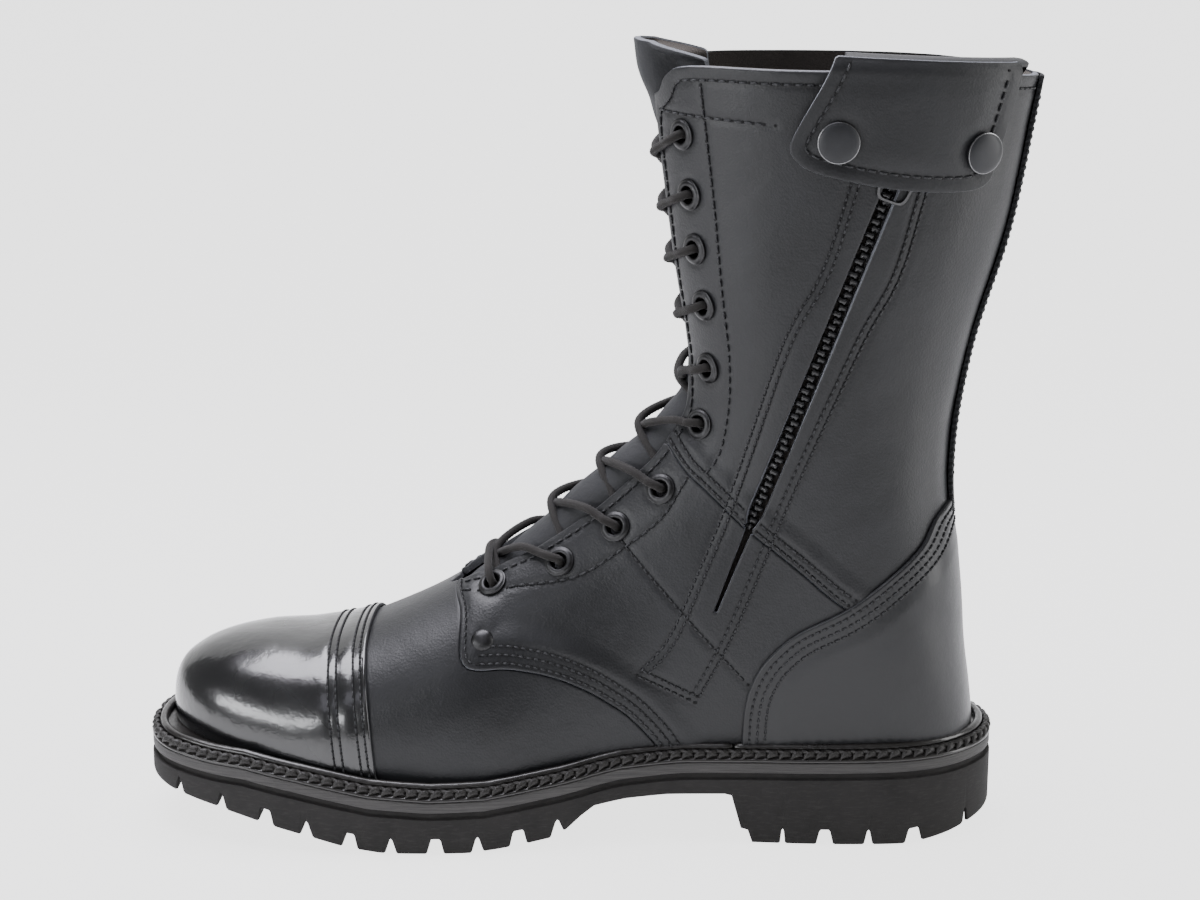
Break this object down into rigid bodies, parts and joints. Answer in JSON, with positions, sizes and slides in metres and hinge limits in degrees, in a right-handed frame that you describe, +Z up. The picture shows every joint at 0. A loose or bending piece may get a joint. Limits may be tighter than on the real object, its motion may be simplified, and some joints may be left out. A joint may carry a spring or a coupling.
{
  "type": "lace-up duty boot",
  "caption": "Tall black leather lace-up boot: polished toe cap, side zip under a hinged snap-down flap, laced tongue opening, welted rubber sole with lugs.",
  "frame": {"origin": "centre of the heel tread, on the ground", "axes": "+Z up, toe towards -X, inner (medial) side with the zip towards -Y; a right boot"},
  "size_m": [0.3229, 0.1102, 0.2887],
  "materials": {
    "cap_enamel": "matte slate enamel",
    "cork": "ground cork",
    "counter_leather": "black, semi-gloss",
    "eyelet_metal": "gunmetal",
    "fitting_metal": "gunmetal",
    "footbed": "dark felt",
    "insole_board": "fibre board",
    "lace": "dark brown-grey round braid",
    "lining": "dark brown nap",
    "polished_leather": "black, high polish",
    "shank_steel": "plain",
    "sole_rubber": "brown-black, sanded edge",
    "stiffener": "stiffened felt",
    "thread": "black waxed cord",
    "tongue_leather": "black, soft satin",
    "upper_leather": "black, fine grain, satin",
    "webbing": "black webbing",
    "welt": "black, glossy",
    "zip_metal": "black lacquer",
    "zip_tape": "black woven tape",
    "zip_teeth": "black coil"
  },
  "bodies": {
    "boot": {"back_strap": "webbing", "cork_filler": "cork", "counter_stiffener": "stiffener", "eyelet_lateral_1": "eyelet_metal", "eyelet_lateral_10": "eyelet_metal", "eyelet_lateral_2": "eyelet_metal", "eyelet_lateral_3": "eyelet_metal", "eyelet_lateral_4": "eyelet_metal", "eyelet_lateral_5": "eyelet_metal", "eyelet_lateral_6": "eyelet_metal", "eyelet_lateral_7": "eyelet_metal", "eyelet_lateral_8": "eyelet_metal", "eyelet_lateral_9": "eyelet_metal", "eyelet_medial_1": "eyelet_metal", "eyelet_medial_10": "eyelet_metal", "eyelet_medial_2": "eyelet_metal", "eyelet_medial_3": "eyelet_metal", "eyelet_medial_4": "eyelet_metal", "eyelet_medial_5": "eyelet_metal", "eyelet_medial_6": "eyelet_metal", "eyelet_medial_7": "eyelet_metal", "eyelet_medial_8": "eyelet_metal", "eyelet_medial_9": "eyelet_metal", "flap_base": "upper_leather", "footbed": "footbed", "heel_counter": "counter_leather", "insole_board": "insole_board", "lace": "lace", "lining": "lining", "midsole": "sole_rubber", "outsole": "sole_rubber", "quarter_lateral": "upper_leather", "quarter_medial": "upper_leather", "rivet_lateral": "fitting_metal", "rivet_medial": "fitting_metal", "shaft_lateral": "upper_leather", "shaft_medial_front": "upper_leather", "shaft_medial_rear": "upper_leather", "shank": "shank_steel", "snap_stud_front": "fitting_metal", "snap_stud_rear": "fitting_metal", "toe_cap": "polished_leather", "toe_puff": "stiffener", "vamp": "upper_leather", "welt": "welt", "welt_stitch": "thread", "zip_tape_front": "zip_tape", "zip_tape_rear": "zip_tape", "zip_teeth_front": "zip_teeth", "zip_teeth_rear": "zip_teeth"},
    "flap": {"snap_cap_front": "cap_enamel", "snap_cap_rear": "cap_enamel", "snap_socket_front": "fitting_metal", "snap_socket_rear": "fitting_metal", "top_flap": "upper_leather"},
    "slider": {"zip_slider": "zip_metal"},
    "pull": {"zip_pull": "zip_metal"},
    "tongue": {"tongue": "tongue_leather"}
  },
  "joints": [
    {"name": "flap_hinge", "type": "hinge", "parent": "boot", "child": "flap", "pos_m": [-0.00894, -0.05111, 0.283], "axis": [-0.9238, -0.383, 0], "range_deg": [0, 115]},
    {"name": "zip_slide", "type": "slide", "parent": "boot", "child": "slider", "axis": [-0.3515, 0.0421, -0.9352], "range_m": [0, 0.1195]},
    {"name": "pull_hinge", "type": "hinge", "parent": "slider", "child": "pull", "pos_m": [0.01944, -0.04465, 0.26444], "axis": [-0.9233, -0.1808, 0.3389], "range_deg": [0, 100]},
    {"name": "tongue_tilt", "type": "hinge", "parent": "boot", "child": "tongue", "pos_m": [-0.14, 0, 0.08], "axis": [0, 1, 0], "range_deg": [0, 4]}
  ],
  "couplings": [
    {"joint": "pull_hinge", "follows": "flap_hinge", "ratio": 0.85}
  ]
}
